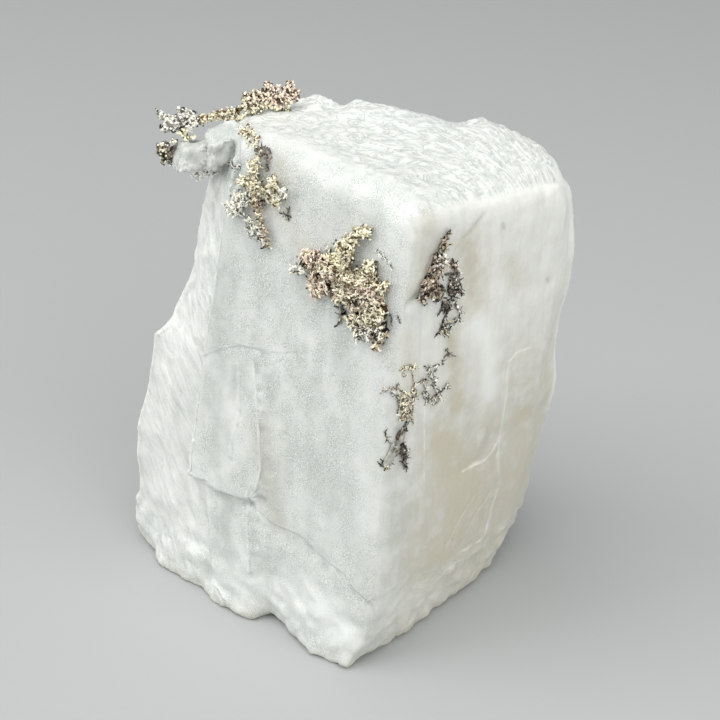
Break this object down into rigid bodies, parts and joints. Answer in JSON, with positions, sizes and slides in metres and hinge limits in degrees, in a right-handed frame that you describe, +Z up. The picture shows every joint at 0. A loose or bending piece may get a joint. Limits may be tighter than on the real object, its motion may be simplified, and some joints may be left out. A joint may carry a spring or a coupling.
{
  "type": "calcite specimen with native silver dendrites",
  "caption": "Milky calcite block with a flat top, a raised cleavage plate and small silver ferns grown on its faces; stands on its flat foot.",
  "frame": {"origin": "centre of the object's box, on the ground under the foot", "axes": "+Z up, -Y towards the side that shows the front edge and the silver ferns, +X to the right"},
  "size_m": [0.0502, 0.035, 0.0597],
  "materials": {
    "calcite": "milky, translucent, waxy to frosted",
    "silver_pale": "bright metal with a thin tarnish",
    "silver_gold": "gold-brown tarnish",
    "silver_dark": "dark copper-brown tarnish"
  },
  "bodies": {
    "root": {"calcite_block": "calcite", "silver_strand_left": "silver_gold", "silver_twig_small": "silver_dark", "silver_fern_centre": "silver_gold", "silver_sliver": "silver_pale", "silver_fleck": "silver_dark", "silver_spike_inner": "silver_dark", "silver_spike_outer": "silver_dark", "silver_spray": "silver_gold", "silver_spray_right": "silver_pale", "silver_sprig": "silver_dark", "silver_foot": "silver_dark", "silver_fern_top": "silver_pale", "silver_fern_side": "silver_pale", "silver_nub": "silver_pale", "silver_fern_back": "silver_gold"}
  },
  "joints": []
}
